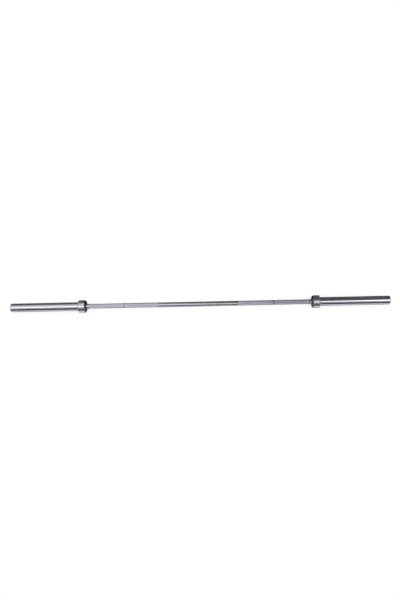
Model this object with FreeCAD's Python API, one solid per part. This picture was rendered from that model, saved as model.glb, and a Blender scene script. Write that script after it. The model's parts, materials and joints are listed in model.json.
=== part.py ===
# Olympic barbell: one turned shaft carrying two revolving sleeves.
# X runs along the bar, Z is up, and the origin is the middle of the shaft on its axis.
# Each sleeve turns on a flanged bronze bush and two drawn-cup needle bearings, and is kept
# on its journal by the shaft's shoulder at one end and by washers and a circlip at the other.
# Every end piece is drawn on the right, +X, end. The left end is the same end turned half round.
import FreeCAD, Part

import os

from FreeCAD import Vector

# Layout along the bar, in millimetres
GRIP_SPAN = 1310.0  # shaft between the two collar faces
COLLAR_WIDTH = 45.0
LOADING_LENGTH = 400.0  # room for plates outside a collar
SMOOTH_CENTRE = 462.0  # plain shaft between the two inner knurls
RING_SPACING = 868.0  # between the middles of the two grip marks
RING_WIDTH = 10.0
COLLAR_CLEARANCE = 20.0  # plain shaft between a knurl and its collar

# Diameters
SHAFT_D = 28.0
SLEEVE_D = 50.0
COLLAR_D = 73.0

# Shaft
KNURL_DEPTH = 0.3  # a knurl's root lies this far under the plain shaft
SHOULDER_STEP = 1.5  # the journal is turned down this far under the grip
SHOULDER_CHAMFER = 0.4
JOURNAL_CHAMFER = 1.0
JOURNAL_TAIL = 3.0  # journal left outside the circlip's groove

# Fits
PRESS_GAP = 0.01  # between pressed pieces, on the radius
RUNNING_GAP = 0.04  # between a journal and what turns on it, on the radius
FACE_GAP = 0.1  # between faces that rub
OVERRUN = 1.0  # cutting tools reach this far past what they cut

# Collar ring
COLLAR_STEP = 0.5  # its seat on the sleeve lies this far under the sleeve's outside
COLLAR_PLATE_CHAMFER = 4.0
COLLAR_GRIP_CHAMFER = 7.0
COLLAR_BORE_CHAMFER = 0.6
SLEEVE_SETBACK = 0.6  # the sleeve's mouth lies this far behind the collar's face

# Dust seal
SEAL_SECTION = 5.0  # from the shaft to the seal's outside
SEAL_SETBACK = 1.6  # from the collar's face
SEAL_WIDTH = 6.0
SEAL_WALL = 1.8
SEAL_LIP_WIDTH = 1.2
SEAL_LIP_HEIGHT = 1.3
SEAL_LIP_GAP = 0.1
SEAL_TO_SHOULDER = 0.6

# Flanged bush
FLANGE_WIDTH = 3.0
BUSH_LENGTH = 20.0
BUSH_CHAMFER = 0.5

# Needle bearings
ROLLER_D = 2.5
ROLLER_COUNT = 16
ROLLER_CHAMFER = 0.25
RACE_GAP = 0.02  # between a roller and each of its two races
BEARING_LENGTH = 20.0
CUP_WALL = 1.0
CUP_CHAMFER = 0.6
CUP_LIP_GAP = 0.4  # from the journal to a cup's turned-in lips
CAGE_GAP = 0.4  # from the cage to either race
CAGE_END_GAP = 0.2
CAGE_RIM = 1.6
POCKET_GAP = 0.08
SEAT_STEP = 1.4  # the bore between the bearing seats is this much smaller, on the radius
BUSH_TO_BEARING = 1.0
OUTER_SETBACK = 1.0  # from the outer bearing to the end of its seat

# Washers and the shaft's circlip
WASHER_SECTION = 4.8  # from the journal to a washer's outside
BRONZE_WASHER_WIDTH = 2.0
STEEL_WASHER_WIDTH = 1.5
CHAMBER_GAP = 0.7  # from a washer's outside to the bore that holds it
SHAFT_CLIP_WIDTH = 1.2
SHAFT_CLIP_DEPTH = 0.55  # of its groove
SHAFT_CLIP_BAND = 3.2
SHAFT_CLIP_LUG = 4.4
SHAFT_CLIP_LUG_R = 1.9
SHAFT_CLIP_HOLE_R = 1.0

# End cap and its circlip
CAP_SEAT = 1.3  # step between the washers' bore and the cap's bore, on the radius
CAP_WIDTH = 5.0
CAP_FIT = 0.05
CAP_CHAMFER = 1.0
CAP_DISH = 0.8
CAP_DISH_D = 24.0
CAP_AIR = 2.0  # between the cap and the shaft's end
CAP_CLIP_WIDTH = 1.75
CAP_CLIP_DEPTH = 1.25
CAP_CLIP_BAND = 3.8
CAP_CLIP_LUG = 5.8
CAP_CLIP_LUG_R = 2.4
CAP_CLIP_HOLE_R = 1.25
END_RECESS = 3.0  # from the sleeve's end to the cap's circlip
END_ROUND = 3.0
BORE_CHAMFER = 0.8

# Circlips in general
CLIP_GAP = 0.05  # between a circlip and its groove
CLIP_OPENING = 3.0  # between its two lugs
CLIP_THIN_SHARE = 0.55  # the band beside the lugs, as a share of the band opposite them

FULL_TURN = 360.0
HALF_TURN = 180.0
ORIGIN = Vector(0, 0, 0)
BAR_AXIS = Vector(1, 0, 0)
UPRIGHT = Vector(0, 0, 1)

# Radii that the sizes above give
SHAFT_R = SHAFT_D / 2
SLEEVE_R = SLEEVE_D / 2
COLLAR_R = COLLAR_D / 2
COLLAR_SEAT_R = SLEEVE_R - COLLAR_STEP
JOURNAL_R = SHAFT_R - SHOULDER_STEP
RACE_R = JOURNAL_R + ROLLER_D + 2 * RACE_GAP
CUP_R = RACE_R + CUP_WALL
SEAT_R = CUP_R + PRESS_GAP
MID_BORE_R = SEAT_R - SEAT_STEP
SEAL_R = SHAFT_R + SEAL_SECTION
SEAL_BORE_R = SEAL_R + PRESS_GAP
PITCH_R = JOURNAL_R + RACE_GAP + ROLLER_D / 2
WASHER_R = JOURNAL_R + WASHER_SECTION
CHAMBER_R = WASHER_R + CHAMBER_GAP
CAP_BORE_R = CHAMBER_R + CAP_SEAT
CAP_GROOVE_R = CAP_BORE_R + CAP_CLIP_DEPTH
SHAFT_GROOVE_R = JOURNAL_R - SHAFT_CLIP_DEPTH

# Places along the right end, from the collar outwards
COLLAR_X = GRIP_SPAN / 2
COLLAR_END_X = COLLAR_X + COLLAR_WIDTH
SLEEVE_X = COLLAR_X + SLEEVE_SETBACK
SLEEVE_END_X = COLLAR_END_X + LOADING_LENGTH
SEAL_X = COLLAR_X + SEAL_SETBACK
SEAL_END_X = SEAL_X + SEAL_WIDTH
SHOULDER_X = SEAL_END_X + SEAL_TO_SHOULDER
FLANGE_X = SHOULDER_X + FACE_GAP
FLANGE_END_X = FLANGE_X + FLANGE_WIDTH
BUSH_END_X = FLANGE_END_X + BUSH_LENGTH
INNER_BEARING_X = BUSH_END_X + BUSH_TO_BEARING
INNER_SEAT_END_X = INNER_BEARING_X + BEARING_LENGTH

# Places along the right end, from the sleeve's end inwards
CAP_CLIP_END_X = SLEEVE_END_X - END_RECESS
CAP_CLIP_X = CAP_CLIP_END_X - CAP_CLIP_WIDTH - 2 * CLIP_GAP
CAP_X = CAP_CLIP_X - CAP_WIDTH
SHAFT_END_X = CAP_X - CAP_AIR
SHAFT_CLIP_END_X = SHAFT_END_X - JOURNAL_TAIL
SHAFT_CLIP_X = SHAFT_CLIP_END_X - SHAFT_CLIP_WIDTH - 2 * CLIP_GAP
STEEL_WASHER_X = SHAFT_CLIP_X - STEEL_WASHER_WIDTH
BRONZE_WASHER_X = STEEL_WASHER_X - BRONZE_WASHER_WIDTH
CHAMBER_X = BRONZE_WASHER_X - FACE_GAP
OUTER_BEARING_X = CHAMBER_X - OUTER_SETBACK - BEARING_LENGTH


def turned(outline):
    """The solid that a lathe leaves: an outline of (place along the bar, radius) turned about the bar."""
    points = [Vector(along, radius, 0) for along, radius in outline]
    face = Part.Face(Part.makePolygon(points + points[:1]))
    return face.revolve(ORIGIN, BAR_AXIS, FULL_TURN)


def ring(start, width, inner, outer):
    """A plain turned ring."""
    end = start + width
    return turned([(start, inner), (start, outer), (end, outer), (end, inner)])


def rim_edges(solid, along, radius):
    """The round edges of a turned solid at one place and radius."""
    return [
        edge
        for edge in solid.Edges
        if isinstance(edge.Curve, Part.Circle)
        and abs(edge.Curve.Radius - radius) < PRESS_GAP
        and abs(edge.Curve.Center.x - along) < PRESS_GAP
    ]


def around(shape, count):
    """Copies of a shape, evenly spaced about the bar."""
    copies = []
    for index in range(count):
        copy = shape.copy()
        copy.rotate(ORIGIN, BAR_AXIS, index * FULL_TURN / count)
        copies.append(copy)
    return copies


def shaft():
    """The bar from end to end: plain middle, knurls parted by a grip mark, shoulders and journals."""
    root = SHAFT_R - KNURL_DEPTH
    mark = RING_SPACING / 2
    mark_start = mark - RING_WIDTH / 2
    mark_end = mark + RING_WIDTH / 2
    knurl_start = SMOOTH_CENTRE / 2
    knurl_end = COLLAR_X - COLLAR_CLEARANCE
    right = [
        (knurl_start, SHAFT_R),
        (knurl_start, root),
        (mark_start, root),
        (mark_start, SHAFT_R),
        (mark_end, SHAFT_R),
        (mark_end, root),
        (knurl_end, root),
        (knurl_end, SHAFT_R),
        (SHOULDER_X - SHOULDER_CHAMFER, SHAFT_R),
        (SHOULDER_X, SHAFT_R - SHOULDER_CHAMFER),
        (SHOULDER_X, JOURNAL_R),
        (SHAFT_CLIP_X, JOURNAL_R),
        (SHAFT_CLIP_X, SHAFT_GROOVE_R),
        (SHAFT_CLIP_END_X, SHAFT_GROOVE_R),
        (SHAFT_CLIP_END_X, JOURNAL_R),
        (SHAFT_END_X - JOURNAL_CHAMFER, JOURNAL_R),
        (SHAFT_END_X, JOURNAL_R - JOURNAL_CHAMFER),
        (SHAFT_END_X, 0),
    ]
    left = [(-along, radius) for along, radius in reversed(right)]
    return turned(left + right)


def sleeve():
    """The tube that plates slide on, bored in steps for the seal, bush, bearings, washers and cap."""
    tube = turned(
        [
            (SLEEVE_X, SEAL_BORE_R),
            (SLEEVE_X, COLLAR_SEAT_R),
            (COLLAR_END_X, COLLAR_SEAT_R),
            (COLLAR_END_X, SLEEVE_R),
            (SLEEVE_END_X, SLEEVE_R),
            (SLEEVE_END_X, CAP_BORE_R + BORE_CHAMFER),
            (SLEEVE_END_X - BORE_CHAMFER, CAP_BORE_R),
            (CAP_CLIP_END_X, CAP_BORE_R),
            (CAP_CLIP_END_X, CAP_GROOVE_R),
            (CAP_CLIP_X, CAP_GROOVE_R),
            (CAP_CLIP_X, CAP_BORE_R),
            (CAP_X, CAP_BORE_R),
            (CAP_X, CHAMBER_R),
            (CHAMBER_X, CHAMBER_R),
            (CHAMBER_X, SEAT_R),
            (OUTER_BEARING_X, SEAT_R),
            (OUTER_BEARING_X, MID_BORE_R),
            (INNER_SEAT_END_X, MID_BORE_R),
            (INNER_SEAT_END_X, SEAT_R),
            (FLANGE_END_X, SEAT_R),
            (FLANGE_END_X, SEAL_BORE_R),
        ]
    )
    flat_rim = SLEEVE_R - CAP_BORE_R - 2 * BORE_CHAMFER
    return tube.makeFillet(min(END_ROUND, flat_rim), rim_edges(tube, SLEEVE_END_X, SLEEVE_R))


def collar_ring():
    """The stop for the plates, shrunk on the sleeve's seat."""
    bore = COLLAR_SEAT_R + PRESS_GAP
    return turned(
        [
            (COLLAR_X + COLLAR_BORE_CHAMFER, bore),
            (COLLAR_X, bore + COLLAR_BORE_CHAMFER),
            (COLLAR_X, COLLAR_R - COLLAR_GRIP_CHAMFER),
            (COLLAR_X + COLLAR_GRIP_CHAMFER, COLLAR_R),
            (COLLAR_END_X - COLLAR_PLATE_CHAMFER, COLLAR_R),
            (COLLAR_END_X, COLLAR_R - COLLAR_PLATE_CHAMFER),
            (COLLAR_END_X, bore),
        ]
    )


def dust_seal():
    """A rubber ring of L section that closes the sleeve's mouth, with a lip that runs on the shaft."""
    lip_r = SHAFT_R + SEAL_LIP_GAP
    inside_r = SEAL_R - SEAL_WALL
    web_end = SEAL_X + SEAL_WALL
    return turned(
        [
            (SEAL_X, lip_r),
            (SEAL_X, SEAL_R),
            (SEAL_END_X, SEAL_R),
            (SEAL_END_X, inside_r),
            (web_end, inside_r),
            (web_end, lip_r + SEAL_LIP_HEIGHT),
            (web_end + SEAL_LIP_WIDTH, lip_r),
        ]
    )


def flanged_bush():
    """The bronze bush beside the collar. Its flange bears on the shaft's shoulder."""
    bore = JOURNAL_R + RUNNING_GAP
    return turned(
        [
            (FLANGE_X, bore),
            (FLANGE_X, SEAL_R),
            (FLANGE_END_X, SEAL_R),
            (FLANGE_END_X, CUP_R),
            (BUSH_END_X - BUSH_CHAMFER, CUP_R),
            (BUSH_END_X, CUP_R - BUSH_CHAMFER),
            (BUSH_END_X, bore),
        ]
    )


def needle_cup(start):
    """The drawn steel shell of a needle bearing, its ends turned in over the cage."""
    end = start + BEARING_LENGTH
    lip = JOURNAL_R + CUP_LIP_GAP
    return turned(
        [
            (start, lip),
            (start, CUP_R - CUP_CHAMFER),
            (start + CUP_CHAMFER, CUP_R),
            (end - CUP_CHAMFER, CUP_R),
            (end, CUP_R - CUP_CHAMFER),
            (end, lip),
            (end - CUP_WALL, lip),
            (end - CUP_WALL, RACE_R),
            (start + CUP_WALL, RACE_R),
            (start + CUP_WALL, lip),
        ]
    )


def cage_span(start):
    """Where the cage of a bearing starts, and how long it is."""
    inset = CUP_WALL + CAGE_END_GAP
    return start + inset, BEARING_LENGTH - 2 * inset


def needle_cage(start):
    """The band that keeps the rollers apart, with a pocket for each."""
    cage_start, cage_length = cage_span(start)
    inner = JOURNAL_R + CAGE_GAP
    outer = RACE_R - CAGE_GAP
    band = ring(cage_start, cage_length, inner, outer)
    width = ROLLER_D + 2 * POCKET_GAP
    corner = Vector(cage_start + CAGE_RIM, -width / 2, inner - OVERRUN)
    pocket = Part.makeBox(cage_length - 2 * CAGE_RIM, width, outer - inner + 2 * OVERRUN, corner)
    return band.cut(around(pocket, ROLLER_COUNT))


def needle_rollers(start):
    """The rollers of one bearing, each in its pocket."""
    cage_start, cage_length = cage_span(start)
    inset = CAGE_RIM + POCKET_GAP
    foot = Vector(cage_start + inset, 0, PITCH_R)
    roller = Part.makeCylinder(ROLLER_D / 2, cage_length - 2 * inset, foot, BAR_AXIS)
    ends = [edge for edge in roller.Edges if isinstance(edge.Curve, Part.Circle)]
    return Part.makeCompound(around(roller.makeChamfer(ROLLER_CHAMFER, ends), ROLLER_COUNT))


def washer(start, width):
    """A thrust washer on the journal, between the sleeve and the shaft's circlip."""
    return ring(start, width, JOURNAL_R + RUNNING_GAP, WASHER_R)


def disc(start, width, radius, lift=0):
    """A round blank across the bar, its middle lifted off the axis."""
    return Part.makeCylinder(radius, width, Vector(start, 0, lift), BAR_AXIS)


def lug_pair(start, width, middle, foot, lug_r, hole_r):
    """The two eared ends of a circlip at its top, and the plier holes and the gap to cut from it."""
    lugs = []
    holes = []
    for side in (-1, 1):
        across = side * (CLIP_OPENING / 2 + lug_r)
        centre = Vector(start, across, middle)
        lugs.append(Part.makeCylinder(lug_r, width, centre, BAR_AXIS))
        low = min(middle, foot)
        corner = Vector(start, across - lug_r, low)
        lugs.append(Part.makeBox(width, 2 * lug_r, abs(foot - middle), corner))
        tool = Vector(start - OVERRUN, across, middle)
        holes.append(Part.makeCylinder(hole_r, width + 2 * OVERRUN, tool, BAR_AXIS))
    gap_corner = Vector(start - OVERRUN, -CLIP_OPENING / 2, 0)
    gap = Part.makeBox(width + 2 * OVERRUN, CLIP_OPENING, 2 * max(middle, foot), gap_corner)
    return lugs, holes + [gap]


def shaft_circlip():
    """The outside circlip in the journal's groove, widest opposite its lugs."""
    start = SHAFT_CLIP_X + CLIP_GAP
    inner = SHAFT_GROOVE_R + CLIP_GAP
    thin = SHAFT_CLIP_BAND * CLIP_THIN_SHARE
    outer = inner + (SHAFT_CLIP_BAND + thin) / 2
    band = disc(start, SHAFT_CLIP_WIDTH, outer, -(SHAFT_CLIP_BAND - thin) / 2)
    middle = inner + SHAFT_CLIP_LUG - SHAFT_CLIP_LUG_R
    lugs, cuts = lug_pair(start, SHAFT_CLIP_WIDTH, middle, inner, SHAFT_CLIP_LUG_R, SHAFT_CLIP_HOLE_R)
    bore = disc(start - OVERRUN, SHAFT_CLIP_WIDTH + 2 * OVERRUN, inner)
    return band.fuse(lugs).cut([bore] + cuts).removeSplitter()


def cap_circlip():
    """The inside circlip that keeps the end cap in the sleeve."""
    start = CAP_CLIP_X + CLIP_GAP
    outer = CAP_GROOVE_R - CLIP_GAP
    thin = CAP_CLIP_BAND * CLIP_THIN_SHARE
    inner = outer - (CAP_CLIP_BAND + thin) / 2
    blank = disc(start, CAP_CLIP_WIDTH, outer)
    opening = disc(start - OVERRUN, CAP_CLIP_WIDTH + 2 * OVERRUN, inner, (CAP_CLIP_BAND - thin) / 2)
    middle = outer - CAP_CLIP_LUG + CAP_CLIP_LUG_R
    lugs, cuts = lug_pair(start, CAP_CLIP_WIDTH, middle, outer, CAP_CLIP_LUG_R, CAP_CLIP_HOLE_R)
    ears = [lug.common(blank) for lug in lugs]
    return blank.cut(opening).fuse(ears).cut(cuts).removeSplitter()


def end_cap():
    """The disc that closes the sleeve's end, with a dished face."""
    outer = CAP_BORE_R - CAP_FIT
    face = CAP_X + CAP_WIDTH
    dish = CAP_DISH_D / 2
    return turned(
        [
            (CAP_X, 0),
            (CAP_X, outer - CAP_CHAMFER),
            (CAP_X + CAP_CHAMFER, outer),
            (face, outer),
            (face, dish + CAP_DISH),
            (face - CAP_DISH, dish),
            (face - CAP_DISH, 0),
        ]
    )


def right_end():
    """Every piece of the right end, by name."""
    return {
        "sleeve": sleeve(),
        "collar_ring": collar_ring(),
        "dust_seal": dust_seal(),
        "flanged_bush": flanged_bush(),
        "inner_needle_cup": needle_cup(INNER_BEARING_X),
        "inner_needle_cage": needle_cage(INNER_BEARING_X),
        "inner_needle_rollers": needle_rollers(INNER_BEARING_X),
        "outer_needle_cup": needle_cup(OUTER_BEARING_X),
        "outer_needle_cage": needle_cage(OUTER_BEARING_X),
        "outer_needle_rollers": needle_rollers(OUTER_BEARING_X),
        "bronze_thrust_washer": washer(BRONZE_WASHER_X, BRONZE_WASHER_WIDTH),
        "steel_thrust_washer": washer(STEEL_WASHER_X, STEEL_WASHER_WIDTH),
        "shaft_circlip": shaft_circlip(),
        "end_cap": end_cap(),
        "cap_circlip": cap_circlip(),
    }


def build():
    """Every piece of the bar, by node name."""
    nodes = {"shaft": shaft()}
    for name, shape in right_end().items():
        nodes["right_" + name] = shape
        turned_round = shape.copy()
        turned_round.rotate(ORIGIN, UPRIGHT, HALF_TURN)
        nodes["left_" + name] = turned_round
    return nodes


def main():
    os.makedirs("parts", exist_ok=True)
    for name, shape in build().items():
        shape.exportStep(os.path.join("parts", name + ".step"))
        print(name, len(shape.Solids), "solid(s)", shape.isValid(), round(shape.Volume), "mm3")


main()
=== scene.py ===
# %% [markdown]
# This lesson dresses a measured model of an olympic barbell: one long steel shaft with a thick
# sleeve turning on each end. The model arrives as plain solids that already have the right sizes
# and joints. Looks are what is left to do, so the turned pieces that show are made again here as
# finer meshes with softened edges and a real knurl, and every piece gets a finish of its own.

# %% Load the measured model
import json
import math
from functools import cached_property

import bmesh
import bpy
import numpy as np
from mathutils import Matrix, Quaternion, Vector


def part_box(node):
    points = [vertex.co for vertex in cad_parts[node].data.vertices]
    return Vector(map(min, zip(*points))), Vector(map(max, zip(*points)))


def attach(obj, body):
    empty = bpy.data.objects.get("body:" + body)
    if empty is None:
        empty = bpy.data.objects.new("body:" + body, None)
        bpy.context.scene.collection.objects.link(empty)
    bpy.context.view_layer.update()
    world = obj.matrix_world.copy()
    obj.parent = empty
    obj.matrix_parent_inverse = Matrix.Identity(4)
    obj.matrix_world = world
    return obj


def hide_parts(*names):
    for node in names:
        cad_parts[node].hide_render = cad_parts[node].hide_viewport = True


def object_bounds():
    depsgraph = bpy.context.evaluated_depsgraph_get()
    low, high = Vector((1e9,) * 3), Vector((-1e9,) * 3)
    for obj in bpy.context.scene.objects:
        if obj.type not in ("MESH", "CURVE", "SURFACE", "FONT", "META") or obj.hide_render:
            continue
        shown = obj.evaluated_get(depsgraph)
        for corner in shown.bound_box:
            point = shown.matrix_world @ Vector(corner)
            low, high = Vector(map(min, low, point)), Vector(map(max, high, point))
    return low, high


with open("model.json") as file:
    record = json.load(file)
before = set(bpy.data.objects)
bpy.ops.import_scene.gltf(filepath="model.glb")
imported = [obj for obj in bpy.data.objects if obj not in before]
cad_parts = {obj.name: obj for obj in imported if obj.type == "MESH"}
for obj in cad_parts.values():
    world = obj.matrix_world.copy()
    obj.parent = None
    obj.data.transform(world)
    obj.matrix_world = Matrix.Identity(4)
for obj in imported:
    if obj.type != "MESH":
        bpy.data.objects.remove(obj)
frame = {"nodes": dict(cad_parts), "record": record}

MM = 0.001
scene = bpy.context.scene
scene.view_settings.view_transform = "Standard"
model_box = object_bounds()
model_sides = [round(side, 4) for side in model_box[1] - model_box[0]]
print("model:", len(frame["nodes"]), "nodes, sides in metres", model_sides)

# %% [markdown]
# The photograph was taken from about three and a half metres away. Both collars show a sliver of
# their inner faces, and the width of that sliver tells the distance. The lens, a small turn and a
# slight roll were worked out from where the ends, collars and grip marks fall in a frame of 400 by
# 600 pixels. A round bar looks alike from any height, so the height follows the reflections: the
# pale lower rims of the sleeves show the floor, and only a camera that looks almost straight down
# sees it there.

# %% Camera
FRAME_HEIGHT = 600  # pixels, the frame's long side
FOCAL_LENGTH = 590.5  # pixels
DISTANCE = 3.429  # metres, like the lengths below
CAMERA_SIDESTEP = 0.1406
looking_down = math.radians(88)
turn, lift, roll = (math.radians(angle) for angle in (2.17, 0.39, -1.2))

lens = bpy.data.cameras.new("camera")
lens.lens = lens.sensor_width * FOCAL_LENGTH / FRAME_HEIGHT
camera = bpy.data.objects.new("camera", lens)
scene.collection.objects.link(camera)
scene.camera = camera

away = Vector((0, math.cos(looking_down), -math.sin(looking_down)))
stand = Matrix.Translation(Vector((CAMERA_SIDESTEP, 0, 0)) - DISTANCE * away)
facing = away.to_track_quat("-Z", "Y").to_matrix().to_4x4()
aim = Matrix.Rotation(turn, 4, "Y") @ Matrix.Rotation(lift, 4, "X") @ Matrix.Rotation(roll, 4, "Z")
camera.matrix_world = stand @ facing @ aim
camera_place = [round(c, 3) for c in camera.matrix_world.translation]
print("camera at", camera_place, "lens", round(lens.lens, 2), "mm")

# %% [markdown]
# A finish is a small sum over the surface: how far along the bar a point lies, how far from its
# axis, and some noise. Wiring such sums by hand hides them, so one small class wraps a socket and
# turns Python's own operators into Math nodes, and one method adds any other node: first its
# settings, then the values or links of its sockets.

# %% Shader maths
class Value:
    """Something that changes over a surface. Sums written with it become Math nodes."""

    def __init__(self, tree, socket):
        self.tree = tree
        self.socket = socket

    def output(self, name):
        return Value(self.tree, self.socket.node.outputs[name])

    def sum(self, operation, *terms):
        return self.tree.node("Math", {"operation": operation}, dict(enumerate(terms)))

    def __add__(self, other):
        return self.sum("ADD", self, other)

    def __radd__(self, other):
        return self.sum("ADD", other, self)

    def __sub__(self, other):
        return self.sum("SUBTRACT", self, other)

    def __rsub__(self, other):
        return self.sum("SUBTRACT", other, self)

    def __mul__(self, other):
        return self.sum("MULTIPLY", self, other)

    def __rmul__(self, other):
        return self.sum("MULTIPLY", other, self)

    def __pow__(self, power):
        return self.sum("POWER", self, power)

    def __abs__(self):
        return self.sum("ABSOLUTE", self)


class Tree:
    """A node tree, and the one way that nodes are added to it."""

    def __init__(self, owner):
        owner.use_nodes = True
        self.nodes = owner.node_tree.nodes
        self.links = owner.node_tree.links
        self.nodes.clear()

    def node(self, kind, settings=None, sockets=None, output=0):
        made = self.nodes.new("ShaderNode" + kind)
        for name, setting in (settings or {}).items():
            setattr(made, name, setting)
        for name, given in (sockets or {}).items():
            if isinstance(given, Value):
                self.links.new(given.socket, made.inputs[name])
            else:
                made.inputs[name].default_value = given
        return Value(self, made.outputs[output]) if made.outputs else made


print("shader maths ready")

# %% [markdown]
# Finishes share a few ingredients. Each can ask for its place on the bar and its distance from the
# axis, and only one that asks gets the nodes for them. Grain is noise that can be stretched, so that
# it runs along the bar, round it or nowhere. A step turns a stretch of values into a soft mask, a
# blend mixes two colours by a mask, and a relief turns a height into a slightly tilted surface, for
# marks far too fine to model.

# %% Finish
class Finish(Tree):
    """The material of one slot of the model, or of something that stands around it."""

    def __init__(self, slot):
        self.slot = slot
        self.material = bpy.data.materials.new(slot)
        super().__init__(self.material)

    @cached_property
    def place(self):
        """Where a point lies on the bar."""
        return self.node("TexCoord").output("Object")

    @cached_property
    def along(self):
        """How far along the bar it lies."""
        return self.node("SeparateXYZ", {}, {0: self.place}).output("X")

    @cached_property
    def radius(self):
        """How far from the bar's axis it lies."""
        parts = self.node("SeparateXYZ", {}, {0: self.place})
        return (parts.output("Y") ** 2 + parts.output("Z") ** 2) ** 0.5

    def grain(self, per_metre, detail=2.0, rough=0.5):
        """Noise from 0 to 1 with this many features to the metre along X, Y and Z."""
        stretched = self.node("VectorMath", {"operation": "MULTIPLY"}, {0: self.place, 1: per_metre})
        sockets = {"Vector": stretched, "Scale": 1.0, "Detail": detail, "Roughness": rough}
        return self.node("TexNoise", {}, sockets)

    def lines(self, along, per_metre, detail=2.0):
        """Noise over one value only, such as a lathe's feed lines."""
        sockets = {"W": along, "Scale": per_metre, "Detail": detail}
        return self.node("TexNoise", {"noise_dimensions": "1D"}, sockets)

    def step(self, value, low, high):
        """A soft mask that goes from 0 at low to 1 at high."""
        sockets = {"Value": value, "From Min": low, "From Max": high}
        return self.node("MapRange", {"interpolation_type": "SMOOTHSTEP"}, sockets)

    def blend(self, mask, under, over):
        """One colour over another by a mask."""
        return self.node("Mix", {"data_type": "RGBA"}, {0: mask, 6: under, 7: over}, output=2)

    def relief(self, height, depth):
        """A tilted surface from a height of 0 to 1 and its depth in metres."""
        return self.node("Bump", {}, {"Height": height, "Distance": depth, "Strength": 1.0})

    def surface(self, sockets):
        shader = self.node("BsdfPrincipled", {}, sockets)
        self.node("OutputMaterial", {}, {"Surface": shader})
        print("finish", self.slot, "with", len(self.nodes), "nodes")


def grey(level, blue=0.0):
    """A neutral colour, with a little blue where asked."""
    return (level, level, level + blue, 1.0)


print("finish tools ready")

# %% [markdown]
# The photograph's ground is plain white. Here that is a white floor under the bar. It takes the
# lamps' light and the bar's shadow like paper, and adds a faint glow of its own for the rays that
# look at it, straight or in a mirror, so that it ends up white without more light on the bar.

# %% Floor
FLOOR_REACH = 60.0
FLOOR_GLOW = 0.74
FLOOR_GAP = 0.2 * MM
PAPER_LEVEL = 0.35
floor_mesh = bpy.data.meshes.new("floor")
signs = ((-1, -1), (1, -1), (1, 1), (-1, 1))
floor_corners = [(x * FLOOR_REACH, y * FLOOR_REACH, 0) for x, y in signs]
floor_mesh.from_pydata(floor_corners, [], [(0, 1, 2, 3)])
floor = bpy.data.objects.new("floor", floor_mesh)
floor.location.z = model_box[0].z - FLOOR_GAP
scene.collection.objects.link(floor)

white_paper = Finish("white_paper")
rays = white_paper.node("LightPath")
mirrored = rays.output("Is Glossy Ray") + rays.output("Is Transmission Ray")
looked_at = rays.output("Is Camera Ray") + mirrored
white_paper.surface({
    "Base Color": grey(PAPER_LEVEL),
    "Roughness": 1.0,
    "Specular IOR Level": 0.0,
    "Emission Color": white_paper.blend(looked_at, grey(0.0), grey(FLOOR_GLOW)),
    "Emission Strength": 1.0,
})
floor_mesh.materials.append(white_paper.material)

# %% [markdown]
# Chrome has no colour of its own to speak of: it shows what stands around it. The photograph's
# sleeves have one bright band in the middle, dark bands beside it and pale lower rims. The walls are
# made first, as a pale room that is a little darker overhead. One plain grey would be simpler, but
# then the chrome would look the same whichever way its surface leans.

# %% Room
WALL_LEVEL = 0.95
CEILING_LEVEL = 0.6
CEILING_FROM = 0.6  # the sine of the angle above the floor
room = bpy.data.worlds.new("pale room")
scene.world = room
walls = Tree(room)
upward = walls.node("SeparateXYZ", {}, {0: walls.node("TexCoord").output("Generated")}).output("Z")
height_share = walls.node("MapRange", {}, {"Value": upward, "From Min": 0.0, "From Max": CEILING_FROM})
wall_levels = {0: height_share, 6: grey(WALL_LEVEL), 7: grey(CEILING_LEVEL)}
wall_colour = walls.node("Mix", {"data_type": "RGBA"}, wall_levels, output=2)
walls.node("OutputWorld", {}, {"Surface": walls.node("Background", {}, {"Color": wall_colour})})
print("room from", WALL_LEVEL, "at the floor to", CEILING_LEVEL, "overhead")

# %% [markdown]
# The bright band is a row of strip lamps over the bar. The bar is brighter on the left and its right
# knurl is dim, so every strip has a brightness of its own, and a softer lamp behind the left half
# helps there. In a mirror only the brightness of a lamp's face counts, whatever its size, so the
# helper takes that brightness and works out the energy that Blender asks for.

# %% Lamps
LAMP_HEIGHT = 2.5
STRIP_FORWARD = -0.14
strip_turn = math.radians(-2)


def lamp(name, place, towards, length, width, brightness, spin=0.0):
    """A soft rectangular lamp whose face is this bright, 1 being white."""
    light = bpy.data.lights.new(name, "AREA")
    light.shape = "RECTANGLE"
    light.size, light.size_y = length, width
    light.energy = math.pi * length * width * brightness
    panel = bpy.data.objects.new(name, light)
    panel.location = place
    facing_down = (Vector(towards) - Vector(place)).to_track_quat("-Z", "Y")
    panel.rotation_euler = (facing_down @ Quaternion((0, 0, 1), spin)).to_euler()
    scene.collection.objects.link(panel)
    print(name, "is", round(length, 2), "by", width, "m and", brightness, "bright")


def strip_lamp(name, start, end, width, brightness):
    """A lamp over the bar from start to end."""
    x = (start + end) / 2
    y = STRIP_FORWARD + x * math.tan(strip_turn)
    lamp(name, (x, y, LAMP_HEIGHT), (x, y, 0), end - start, width, brightness, spin=strip_turn)


strip_lamp("left_strip", start=-2.6, end=-0.55, width=0.6, brightness=2.8)
strip_lamp("middle_strip", start=-0.55, end=0.35, width=0.6, brightness=2.0)
strip_lamp("dim_strip", start=0.35, end=1.1, width=0.6, brightness=0.7)
strip_lamp("right_strip", start=1.1, end=1.65, width=0.8, brightness=1.9)
strip_lamp("end_strip", start=1.65, end=2.6, width=1.5, brightness=1.9)
behind_left = (-2.2, 1.65, LAMP_HEIGHT)
left_half = (-0.7, 0, 0)
lamp("left_lamp", behind_left, left_half, length=4.0, width=1.8, brightness=0.48)

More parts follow.
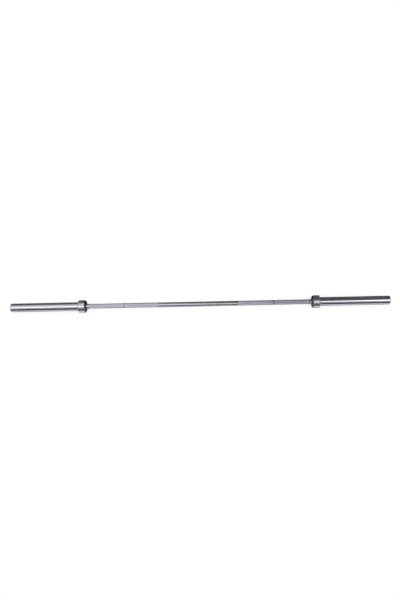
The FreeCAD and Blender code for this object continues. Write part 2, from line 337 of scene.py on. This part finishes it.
# %% [markdown]
# Dark bands are dark things that the chrome sees, so cards stop the room's light, as studios use them:
# in front, behind, at both ends and over the right half. The right knurl is much darker than the left
# one, so a small card across the bar at its end keeps the right lamps off it. That card is clear from
# its other side, so that the right sleeve doesn't mirror it. The upper rims and the collars' inner
# faces are dark although the ground is white, so a black mat lies where they look. Only mirrors see
# the cards and the mat. The camera doesn't, so that other views stay pale.

# %% Cards
def paint(name, level, one_sided=False):
    """A dull grey for cards. A one-sided one is clear where the front of the sheet is looked at."""
    dull = Finish(name)
    sockets = {"Base Color": grey(level), "Roughness": 1.0, "Specular IOR Level": 0.0}
    if one_sided:
        sockets["Alpha"] = dull.node("NewGeometry").output("Backfacing")
    dull.surface(sockets)
    return dull


def card(name, start, end, low, high, colour):
    """A flat sheet along the bar, between two edges at (Y, Z), that only mirrors see."""
    sheet = bpy.data.meshes.new(name)
    sheet.from_pydata([(start, *low), (end, *low), (end, *high), (start, *high)], [], [(0, 1, 2, 3)])
    sheet.materials.append(colour.material)
    board = bpy.data.objects.new(name, sheet)
    scene.collection.objects.link(board)
    board.visible_camera = False
    board.visible_diffuse = False
    board.visible_shadow = False
    print(name, "in", colour.slot)
    return board


def card_across(name, x, half_width, low, high, colour):
    """A card that stands square across the bar, from one height to another."""
    board = card(name, -half_width, half_width, (-x, low), (-x, high), colour)
    board.rotation_euler.z = math.pi / 2


black_card = paint("black_card", 0.1)
one_sided_black = paint("one_sided_black", 0.1, one_sided=True)
grey_card = paint("grey_card", 0.35)
black_velvet = paint("black_velvet", 0.02)

# %% Cards in place
COLLAR_CLEARANCE = 20 * MM
PAST_KNURL = 2 * MM
MAT_THICKNESS = 0.1 * MM
END_CARD_X = 2.9
knurl_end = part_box("right_collar_ring")[0].x - COLLAR_CLEARANCE
knurl_card_x = knurl_end + PAST_KNURL
mat_top = floor.location.z + MAT_THICKNESS
card("front_card", start=-2.9, end=2.9, low=(-2.2, 0.06), high=(-2.2, 2.5), colour=black_card)
card("back_card", start=-5.2, end=4.8, low=(8.0, -0.03), high=(8.0, 4.6), colour=black_card)
card("right_card", start=0.0, end=2.9, low=(2.6, 1.5), high=(0.4, 2.9), colour=grey_card)
card("dark_mat", start=-1.3, end=1.3, low=(-0.07, mat_top), high=(0.6, mat_top), colour=black_velvet)
card_across("left_end_card", -END_CARD_X, half_width=1.0, low=0.0, high=2.0, colour=black_card)
card_across("right_end_card", END_CARD_X, half_width=1.0, low=0.0, high=2.0, colour=black_card)
card_across("knurl_card", knurl_card_x, half_width=0.3, low=0.03, high=1.2, colour=one_sided_black)

# %% [markdown]
# The sleeves are ground and plated after turning, and plates slide over them for years. The result
# is a satin chrome: feed lines run round the sleeve, and faint scuffs run along it. Both are noise
# stretched in one direction. The lines tilt the surface a little and the scuffs roughen it.

# %% Satin chrome
CHROME = grey(0.54, 0.06)
SCUFFED_CHROME = grey(0.46, 0.05)
satin_chrome = Finish("satin_chrome")
feed_lines = satin_chrome.lines(satin_chrome.along, per_metre=2600.0)
scuff_grain = satin_chrome.grain(per_metre=(14.0, 420.0, 420.0), detail=3.0, rough=0.6)
scuffs = satin_chrome.step(scuff_grain, low=0.52, high=0.72)
haze = satin_chrome.grain(per_metre=(9.0, 30.0, 30.0))
satin_chrome.surface({
    "Base Color": satin_chrome.blend(scuffs * 0.3, CHROME, SCUFFED_CHROME),
    "Metallic": 1.0,
    "Roughness": 0.2 + scuffs * 0.03 + haze * 0.01,
    "Normal": satin_chrome.relief(feed_lines, depth=0.006 * MM),
})

# %% [markdown]
# The collars are the same metal. Turning marks circle the axis on the flat faces and run round the
# barrel, which is one noise over the place along the bar and the radius together. Knocks leave small
# dull spots. The barrel stays polished chrome, while the face towards the grip and its chamfer carry a
# painted dark reflection: a mask that starts where the barrel ends colours them near black.

# %% Polished chrome
GRIP_CHAMFER = 7.0 * MM
DARK_REFLECTION_FADE = 0.5 * MM
# Painted dark reflection: near-black chrome for the grip-side face and its chamfer.
PAINTED_DARK_REFLECTION = grey(0.12, 0.015)
polished_chrome = Finish("polished_chrome")
along_and_out = polished_chrome.along + polished_chrome.radius
turning_marks = polished_chrome.lines(along_and_out, per_metre=1900.0)
knock_grain = polished_chrome.grain(per_metre=(160.0, 160.0, 160.0), detail=4.0, rough=0.65)
knocks = polished_chrome.step(knock_grain, low=0.6, high=0.75)
barrel_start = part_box("right_collar_ring")[0].x + GRIP_CHAMFER
dark_reflection_full = barrel_start - DARK_REFLECTION_FADE
# Mask of the painted dark reflection: 1 on the grip-side face and chamfer, 0 on the barrel.
dark_reflection_mask = polished_chrome.step(abs(polished_chrome.along), low=barrel_start, high=dark_reflection_full)
polished_chrome.surface({
    "Base Color": polished_chrome.blend(dark_reflection_mask, CHROME, PAINTED_DARK_REFLECTION),
    "Metallic": 1.0,
    "Roughness": 0.3 + knocks * 0.1,
    "Normal": polished_chrome.relief(turning_marks, depth=0.004 * MM),
})

# %% [markdown]
# The shaft is hard chromed over its knurl. Where it is plain it is smooth and mirrors the lamps in a
# narrow line. The plating leaves the flanks of the knurl frosted, so they are paler and scatter more.
# The depth under the plain surface tells the two apart, so the finish follows the mesh wherever it
# goes, and the tips that hands rub stay as smooth as the plain stretches.

# %% Hard chrome
SHAFT_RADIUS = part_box("shaft")[1].z
KNURL_DEPTH = 0.3 * MM
FROST_START = SHAFT_RADIUS - 0.02 * KNURL_DEPTH
FROST_FULL = SHAFT_RADIUS - 0.3 * KNURL_DEPTH
PLAIN_CHROME = grey(0.49, 0.05)
FROSTED_CHROME = grey(0.67, 0.08)
hard_chrome = Finish("hard_chrome")
frost = hard_chrome.step(hard_chrome.radius, low=FROST_START, high=FROST_FULL)
rubbed = hard_chrome.grain(per_metre=(40.0, 260.0, 260.0), detail=3.0, rough=0.6)
hard_chrome.surface({
    "Base Color": hard_chrome.blend(frost, PLAIN_CHROME, FROSTED_CHROME),
    "Metallic": 1.0,
    "Roughness": 0.23 + frost * 0.1 + rubbed * 0.02,
})

# %% [markdown]
# The dust seals are black moulded rubber. Rubber reflects little and scatters widely, and its skin
# is finely pebbled and holds pale dust. A fine noise gives the pebbles, a coarse one the dust.

# %% Black rubber
CLEAN_RUBBER = grey(0.022)
DUSTY_RUBBER = grey(0.05)
black_rubber = Finish("black_rubber")
pebbles = black_rubber.grain(per_metre=(2200.0, 2200.0, 2200.0))
dust_grain = black_rubber.grain(per_metre=(220.0, 220.0, 220.0), detail=4.0, rough=0.6)
dust = black_rubber.step(dust_grain, low=0.5, high=0.75)
black_rubber.surface({
    "Base Color": black_rubber.blend(dust, CLEAN_RUBBER, DUSTY_RUBBER),
    "Roughness": 0.55 + dust * 0.2,
    "Normal": black_rubber.relief(pebbles, depth=0.03 * MM),
})

# %% [markdown]
# Inside the sleeves sit the bush and thrust washers of oiled bronze, the needle bearings of ground
# and drawn steel with their cages of pressed strip, and the circlips of dark phosphated spring
# steel. They are out of sight while the bar is whole, yet a reader who opens the model sees them.

# %% Bronze
DRY_BRONZE = (0.58, 0.36, 0.15, 1.0)
OILED_BRONZE = (0.34, 0.2, 0.09, 1.0)
bronze = Finish("bronze")
bronze_lines = bronze.lines(bronze.along + bronze.radius, per_metre=2400.0)
oil_grain = bronze.grain(per_metre=(120.0, 120.0, 120.0), detail=4.0, rough=0.6)
oil = bronze.step(oil_grain, low=0.45, high=0.7)
bronze.surface({
    "Base Color": bronze.blend(oil, DRY_BRONZE, OILED_BRONZE),
    "Metallic": 1.0,
    "Roughness": 0.36 - oil * 0.12,
    "Normal": bronze.relief(bronze_lines, depth=0.008 * MM),
})

# %% Bearing steel
GROUND_STEEL = grey(0.5, 0.02)
BRIGHT_STEEL = grey(0.58, 0.02)
bearing_steel = Finish("bearing_steel")
grinding = bearing_steel.grain(per_metre=(300.0, 5200.0, 5200.0))
tint = bearing_steel.grain(per_metre=(90.0, 90.0, 90.0))
bearing_steel.surface({
    "Base Color": bearing_steel.blend(tint, GROUND_STEEL, BRIGHT_STEEL),
    "Metallic": 1.0,
    "Roughness": 0.18 + grinding * 0.12,
    "Normal": bearing_steel.relief(grinding, depth=0.002 * MM),
})

# %% Cage steel
DARK_ROLLED = grey(0.34)
PALE_ROLLED = grey(0.5)
cage_steel = Finish("cage_steel")
rolled_skin = cage_steel.grain(per_metre=(260.0, 900.0, 900.0), detail=4.0, rough=0.6)
cage_steel.surface({
    "Base Color": cage_steel.blend(rolled_skin, DARK_ROLLED, PALE_ROLLED),
    "Metallic": 1.0,
    "Roughness": 0.32 + rolled_skin * 0.16,
    "Normal": cage_steel.relief(rolled_skin, depth=0.006 * MM),
})

# %% Spring steel
PHOSPHATE = grey(0.075)
RUBBED_STEEL = grey(0.2)
spring_steel = Finish("spring_steel")
crystals = spring_steel.grain(per_metre=(2600.0, 2600.0, 2600.0), detail=3.0, rough=0.7)
rub_grain = spring_steel.grain(per_metre=(300.0, 300.0, 300.0), detail=3.0)
rub = spring_steel.step(rub_grain, low=0.58, high=0.75)
spring_steel.surface({
    "Base Color": spring_steel.blend(rub, PHOSPHATE, RUBBED_STEEL),
    "Metallic": 0.7,
    "Roughness": 0.5 + crystals * 0.12 - rub * 0.15,
    "Normal": spring_steel.relief(crystals, depth=0.012 * MM),
})

# %% [markdown]
# The caps that close the sleeves are turned from aluminium. A facing cut leaves a fine spiral that
# shines in two fans, so their lines follow the radius alone, with a duller skin in patches.

# %% Machined aluminium
DULL_ALUMINIUM = grey(0.56, 0.02)
BRIGHT_ALUMINIUM = grey(0.64, 0.02)
machined_aluminium = Finish("machined_aluminium")
facing_cut = machined_aluminium.lines(machined_aluminium.radius, per_metre=2200.0)
skin = machined_aluminium.grain(per_metre=(70.0, 110.0, 110.0), detail=3.0)
machined_aluminium.surface({
    "Base Color": machined_aluminium.blend(skin, DULL_ALUMINIUM, BRIGHT_ALUMINIUM),
    "Metallic": 1.0,
    "Roughness": 0.26 + skin * 0.14,
    "Normal": machined_aluminium.relief(facing_cut, depth=0.01 * MM),
})

# %% [markdown]
# Sleeves, collars, seals and caps are all turned or moulded round, so each is one outline spun
# about the bar. An outline is a list of corners: place along the bar, radius, and how much the
# edge is rounded. Real edges are never perfectly sharp, and it is the rounding that catches light.
# Normals weighted by area then keep the long faces straight beside those small curves.

# %% Lathe
LATHE_STEPS = 160
ROUND_STEPS = 4
MERGE_WITHIN = 0.001 * MM
LATHE_SHARP = math.radians(35)


def rounded(corners, closed):
    """The outline's points, with every corner that has a rounding turned into a short curve."""
    outline = []
    for index, (along, radius, rounding) in enumerate(corners):
        here = Vector((along, radius))
        inner = closed or 0 < index < len(corners) - 1
        if rounding == 0 or not inner:
            outline.append(here)
            continue
        before = Vector(corners[index - 1][:2])
        after = Vector(corners[(index + 1) % len(corners)][:2])
        start = here + (before - here).normalized() * rounding
        end = here + (after - here).normalized() * rounding
        for step in range(ROUND_STEPS + 1):
            share = step / ROUND_STEPS
            rest = 1 - share
            outline.append(rest ** 2 * start + 2 * share * rest * here + share ** 2 * end)
    return outline


def spun(name, corners, closed=True):
    """A mesh object from an outline spun about the bar's axis."""
    shape = bmesh.new()
    points = [shape.verts.new((p.x, 0, p.y)) for p in rounded(corners, closed)]
    runs = list(zip(points, points[1:] + points[:1] if closed else points[1:]))
    edges = [shape.edges.new(run) for run in runs]
    bmesh.ops.spin(shape, geom=points + edges, axis=(1, 0, 0), cent=(0, 0, 0), steps=LATHE_STEPS,
                   angle=2 * math.pi, use_merge=True)
    bmesh.ops.remove_doubles(shape, verts=shape.verts, dist=MERGE_WITHIN)
    bmesh.ops.recalc_face_normals(shape, faces=shape.faces)
    mesh = bpy.data.meshes.new(name)
    shape.to_mesh(mesh)
    shape.free()
    mesh.shade_smooth()
    mesh.set_sharp_from_angle(angle=LATHE_SHARP)
    piece = bpy.data.objects.new(name, mesh)
    scene.collection.objects.link(piece)
    weighted = piece.modifiers.new("long faces stay straight", "WEIGHTED_NORMAL")
    weighted.keep_sharp = True
    return piece


def fit(piece, finish, body, node):
    """The piece takes its finish, moves with its body and stands for its node."""
    piece.data.materials.append(finish.material)
    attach(piece, body)
    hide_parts(node)
    print(piece.name, "has", len(piece.data.polygons), "faces and stands for", node)


def each_end():
    """Both ends of the bar: a name, the way out along X, and a reader of places in the model."""
    for side, out in (("left", -1), ("right", 1)):
        def span(node, side=side):
            low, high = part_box(side + "_" + node)
            near, far = sorted((abs(low.x), abs(high.x)))
            return near, far, high.z
        yield side, out, span


def outward(corners, out):
    """An outline drawn for the right end, on the end that lies this way out."""
    return [(out * along, radius, rounding) for along, radius, rounding in corners]


print("lathe ready")

# %% [markdown]
# The collar is the ring that plates stop against. Its edge towards the grip carries a wide chamfer,
# which the photograph shows as a dark step, and its edge towards the plates a narrower one. Both are
# modelled at their real width, and each of their edges is broken a little so that a thin line of
# light runs round it.

# %% Collars
PLATE_CHAMFER = 4.0 * MM
BORE_CHAMFER = 0.6 * MM
SEAT_STEP = 0.5 * MM  # the sleeve is this much thinner under its collar
PRESSED = 0.01 * MM
SOFT_EDGE, BROKEN_EDGE, CRISP_EDGE = 0.8 * MM, 0.2 * MM, 0.1 * MM
for side, out, span in each_end():
    start, end, collar_r = span("collar_ring")
    bore = span("sleeve")[2] - SEAT_STEP + PRESSED
    collar = spun(side + "_collar", outward([
        (start + BORE_CHAMFER, bore, 0),
        (start, bore + BORE_CHAMFER, BROKEN_EDGE),
        (start, collar_r - GRIP_CHAMFER, SOFT_EDGE),
        (start + GRIP_CHAMFER, collar_r, SOFT_EDGE),
        (end - PLATE_CHAMFER, collar_r, SOFT_EDGE),
        (end, collar_r - PLATE_CHAMFER, SOFT_EDGE),
        (end, bore, CRISP_EDGE),
    ], out))
    fit(collar, polished_chrome, side + "_sleeve_assembly", side + "_collar_ring")

# %% [markdown]
# The sleeve is a tube, bored in steps for what sits inside: the seal, bush and inner bearing at the
# collar, the outer bearing, washers and cap at the end. Its end is well rounded so that plates
# find their way on. The outline goes out along the outside and comes back along the bore.

# %% Sleeves
END_ROUND = 3.0 * MM
MOUTH_CHAMFER = 0.8 * MM
MOUTH_EDGE = 0.15 * MM
FLANGE_WIDTH = 3.0 * MM
MIDDLE_STEP = 1.4 * MM
WASHER_ROOM = 0.7 * MM
WASHER_PLAY = 0.1 * MM
CAP_LEDGE = 1.3 * MM
CAP_GROOVE = 1.85 * MM
CLIP_PLAY = 0.05 * MM
for side, out, span in each_end():
    mouth, end, sleeve_r = span("sleeve")
    seat_r = sleeve_r - SEAT_STEP
    seal_r = span("dust_seal")[2] + PRESSED
    bearing_r = span("inner_needle_cup")[2] + PRESSED
    middle_r = bearing_r - MIDDLE_STEP
    washer_r = span("bronze_thrust_washer")[2] + WASHER_ROOM
    cap_r = washer_r + CAP_LEDGE
    groove_r = span("cap_circlip")[2] + CLIP_PLAY
    collar_end = span("collar_ring")[1]
    bush_step = span("flanged_bush")[0] + FLANGE_WIDTH
    inner_end = span("inner_needle_cup")[1]
    outer_start = span("outer_needle_cup")[0]
    washers = span("bronze_thrust_washer")[0] - WASHER_PLAY
    cap_start, groove, _ = span("end_cap")
    groove_end = groove + CAP_GROOVE
    sleeve = spun(side + "_tube", outward([
        (mouth, seal_r, MOUTH_EDGE),
        (mouth, seat_r, BROKEN_EDGE),
        (collar_end, seat_r, 0),
        (collar_end, sleeve_r, CRISP_EDGE),
        (end, sleeve_r, END_ROUND),
        (end, cap_r + MOUTH_CHAMFER, BROKEN_EDGE),
        (end - MOUTH_CHAMFER, cap_r, BROKEN_EDGE),
        (groove_end, cap_r, 0),
        (groove_end, groove_r, 0),
        (groove, groove_r, 0),
        (groove, cap_r, 0),
        (cap_start, cap_r, 0),
        (cap_start, washer_r, 0),
        (washers, washer_r, 0),
        (washers, bearing_r, 0),
        (outer_start, bearing_r, 0),
        (outer_start, middle_r, 0),
        (inner_end, middle_r, 0),
        (inner_end, bearing_r, 0),
        (bush_step, bearing_r, 0),
        (bush_step, seal_r, 0),
    ], out))
    fit(sleeve, satin_chrome, side + "_sleeve_assembly", side + "_sleeve")

# %% [markdown]
# The seal closes the sleeve's mouth against dust and chalk. It is a ring of L section: a wall that
# grips the bore, a thin face, and a lip that reaches in to the shaft. Moulded edges are soft.

# %% Dust seals
SEAL_WALL = 1.8 * MM
LIP_GAP = 0.1 * MM
LIP_WIDTH = 1.2 * MM
LIP_HEIGHT = 1.3 * MM
MOULDED_EDGE = 0.4 * MM
SEAL_SHOULDER = 0.5 * MM
for side, out, span in each_end():
    start, end, seal_r = span("dust_seal")
    lip_r = SHAFT_RADIUS + LIP_GAP
    web = start + SEAL_WALL
    seal = spun(side + "_seal", outward([
        (start, lip_r, MOULDED_EDGE),
        (start, seal_r, SEAL_SHOULDER),
        (end, seal_r, MOULDED_EDGE),
        (end, seal_r - SEAL_WALL, MOULDED_EDGE),
        (web, seal_r - SEAL_WALL, MOULDED_EDGE),
        (web, lip_r + LIP_HEIGHT, BROKEN_EDGE),
        (web + LIP_WIDTH, lip_r, CRISP_EDGE),
    ], out))
    fit(seal, black_rubber, side + "_sleeve_assembly", side + "_dust_seal")

# %% [markdown]
# The cap is a disc that closes the sleeve's end, with a shallow dish in its face. Its outline starts
# and ends on the axis, so spinning it gives a closed piece with no hole.

# %% End caps
CAP_CHAMFER = 1.0 * MM
DISH_DEPTH = 0.8 * MM
DISH_RADIUS = 12.0 * MM
DISH_EDGE = 0.3 * MM
for side, out, span in each_end():
    back, face, cap_r = span("end_cap")
    cap = spun(side + "_cap", outward([
        (back, 0, 0),
        (back, cap_r - CAP_CHAMFER, BROKEN_EDGE),
        (back + CAP_CHAMFER, cap_r, BROKEN_EDGE),
        (face, cap_r, BROKEN_EDGE),
        (face, DISH_RADIUS + DISH_DEPTH, DISH_EDGE),
        (face - DISH_DEPTH, DISH_RADIUS, DISH_EDGE),
        (face - DISH_DEPTH, 0, 0),
    ], out), closed=False)
    fit(cap, machined_aluminium, side + "_sleeve_assembly", side + "_end_cap")

# %% [markdown]
# The knurl is what a hand feels first: rows of small diamonds, rolled in by two wheels whose lines
# cross at an angle. A picture of it would look flat, so it is modelled. Seen along the bar, the
# diamonds lie on a chequered grid: at every second crossing stands a tip, and at the others meet
# the grooves. Each row of the grid turns the pattern by one step, and each square is split along
# its groove, which makes every diamond a small pyramid with four flat sides.

# %% Knurl pattern
DIAMONDS_ROUND = 50
GROOVE_ANGLE = math.radians(30)
columns = 2 * DIAMONDS_ROUND
diamond_width = 2 * math.pi * SHAFT_RADIUS / DIAMONDS_ROUND
diamond_length = diamond_width / math.tan(GROOVE_ANGLE)
row_length = diamond_length / 2
print("diamonds", round(diamond_width / MM, 2), "by", round(diamond_length / MM, 2), "mm")

# %% [markdown]
# The shaft is then a stack of rings. A plain ring has one radius all round. A knurled ring takes
# turns between tip and root. The rings run from one end of the shaft to the other: journal, groove
# for the circlip, shoulder, a short plain stretch, outer knurl, grip mark, inner knurl, plain middle.

# %% Shaft rings
PLAIN_STEP = 20 * MM
SUPPORT = 0.3 * MM
MIDDLE_HALF = 231 * MM
MARK_START, MARK_END = 429 * MM, 439 * MM
SHOULDER_PLAY = 0.1 * MM
SHOULDER_CHAMFER = 0.4 * MM
JOURNAL_STEP = 1.5 * MM
CLIP_DEPTH = 0.55 * MM
SHAFT_CHAMFER = 1.0 * MM
ROOT_RADIUS = SHAFT_RADIUS - KNURL_DEPTH
right_end = [span for side, out, span in each_end() if side == "right"][0]
shoulder = right_end("flanged_bush")[0] - SHOULDER_PLAY
shoulder_r = SHAFT_RADIUS - SHOULDER_CHAMFER
journal_r = SHAFT_RADIUS - JOURNAL_STEP
clip_near, clip_far, _ = right_end("shaft_circlip")
clip_start = clip_near - CLIP_PLAY
clip_end = clip_far + CLIP_PLAY
clip_r = journal_r - CLIP_DEPTH
shaft_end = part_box("shaft")[1].x
shaft_end_r = journal_r - SHAFT_CHAMFER


def plain(start, end, radius):
    """Plain rings from start to end, close together at both ends so that the shading stays even."""
    steps = max(1, round((end - start - 2 * SUPPORT) / PLAIN_STEP))
    inner = np.linspace(start + SUPPORT, end - SUPPORT, steps + 1)
    return [(along, radius, radius) for along in (start, *inner, end)]


def knurled(start, end):
    """Knurled rings between two plain ones."""
    rows = round((end - start) / row_length)
    places = np.linspace(start, end, rows + 1)[1:-1]
    return [(along, SHAFT_RADIUS, ROOT_RADIUS) for along in places]


right_rings = (
    plain(0, MIDDLE_HALF, SHAFT_RADIUS)[1:]
    + knurled(MIDDLE_HALF, MARK_START)
    + plain(MARK_START, MARK_END, SHAFT_RADIUS)
    + knurled(MARK_END, knurl_end)
    + plain(knurl_end, shoulder - SHOULDER_CHAMFER, SHAFT_RADIUS)
    + [(shoulder, shoulder_r, shoulder_r)]
    + plain(shoulder, clip_start, journal_r)
    + [(clip_start, clip_r, clip_r), (clip_end, clip_r, clip_r)]
    + plain(clip_end, shaft_end - SHAFT_CHAMFER, journal_r)
    + [(shaft_end, shaft_end_r, shaft_end_r)]
)
rings = [(-along, tip, root) for along, tip, root in reversed(right_rings)] + right_rings
print(len(rings), "rings along the shaft")

# %% [markdown]
# The rings become one closed mesh: a vertex for each ring and column, two triangles for each knurled
# square, one four-sided face for each plain one, and a fan at either end. Knurled faces stay flat so
# that every diamond glints by itself, and plain ones are shaded smooth.

# %% Shaft mesh
SHAFT_SHARP = math.radians(25)
angles = 2 * math.pi * np.arange(columns) / columns
vertices = []
for row, (along, tip, root) in enumerate(rings):
    radii = np.where((np.arange(columns) + row) % 2 == 0, tip, root)
    vertices += zip(np.full(columns, along), radii * np.cos(angles), radii * np.sin(angles))
is_knurled = [tip != root for along, tip, root in rings]

faces = []
smooth = []
corner_columns = []
for row in range(len(rings) - 1):
    rough = is_knurled[row] or is_knurled[row + 1]
    for column in range(columns):
        square = [(row, column), (row, column + 1), (row + 1, column + 1), (row + 1, column)]
        if not rough:
            pieces = [square]
        elif (row + column) % 2 == 0:
            pieces = [[square[0], square[1], square[3]], [square[1], square[2], square[3]]]
        else:
            pieces = [[square[0], square[1], square[2]], [square[0], square[2], square[3]]]
        for corners in pieces:
            faces.append([r * columns + c % columns for r, c in corners])
            corner_columns.append([c for r, c in corners])
            smooth.append(not rough)
last = len(rings) - 1
for row, way in ((0, -1), (last, 1)):
    middle = len(vertices)
    vertices.append((rings[row][0], 0, 0))
    for column in range(columns):
        fan = [
            (row * columns + column, column),
            (row * columns + (column + 1) % columns, column + 1),
        ][::way]
        faces.append([middle] + [vertex for vertex, c in fan])
        corner_columns.append([column] + [c for vertex, c in fan])
        smooth.append(True)

shaft_mesh = bpy.data.meshes.new("knurled_shaft")
shaft_mesh.from_pydata(vertices, [], faces)
shaft_mesh.shade_smooth()
shaft_mesh.set_sharp_from_angle(angle=SHAFT_SHARP)
shaft_mesh.polygons.foreach_set("use_smooth", smooth)
shaft_mesh.update()
print("shaft mesh:", len(vertices), "vertices,", len(faces), "faces")

# %% [markdown]
# A bar eighty times as long as it is thick would waste a square picture, so its surface is cut into
# five lengths that lie side by side. The name of this map tells the export to keep it.

# %% Shaft map
STRIPS = 5
MARGIN = 0.03
strip_length = 2 * shaft_end / STRIPS
unrolled = shaft_mesh.uv_layers.new(name="OFBake")
flat = np.empty((len(shaft_mesh.loops), 2))
loop = 0
for face, face_columns in zip(faces, corner_columns):
    along = [vertices[vertex][0] + shaft_end for vertex in face]
    strip = min(STRIPS - 1, int(sum(along) / len(along) / strip_length))
    for place, column in zip(along, face_columns):
        run = MARGIN + (1 - 2 * MARGIN) * (place / strip_length - strip)
        rise = (strip + MARGIN + (1 - 2 * MARGIN) * column / columns) / STRIPS
        flat[loop] = run, rise
        loop += 1
unrolled.data.foreach_set("uv", flat.ravel())
shaft = bpy.data.objects.new("knurled_shaft", shaft_mesh)
scene.collection.objects.link(shaft)
fit(shaft, hard_chrome, "shaft", "shaft")

# %% [markdown]
# What is left are the pieces inside the sleeves and the circlips. Their measured solids are already
# right, pockets, lips, lugs and all, so they stay as they are and only take their finishes.

# %% Inner pieces
inner_finishes = (bronze, bearing_steel, cage_steel, spring_steel)
finishes = {finish.slot: finish for finish in inner_finishes}
slots = {part["node"]: part["material_slot"] for part in frame["record"]["subparts"]}
dressed = 0
for node, model in frame["nodes"].items():
    if slots[node] in finishes:
        for holder in model.material_slots:
            holder.material = finishes[slots[node]].material
        dressed += 1
print(dressed, "inner pieces dressed")
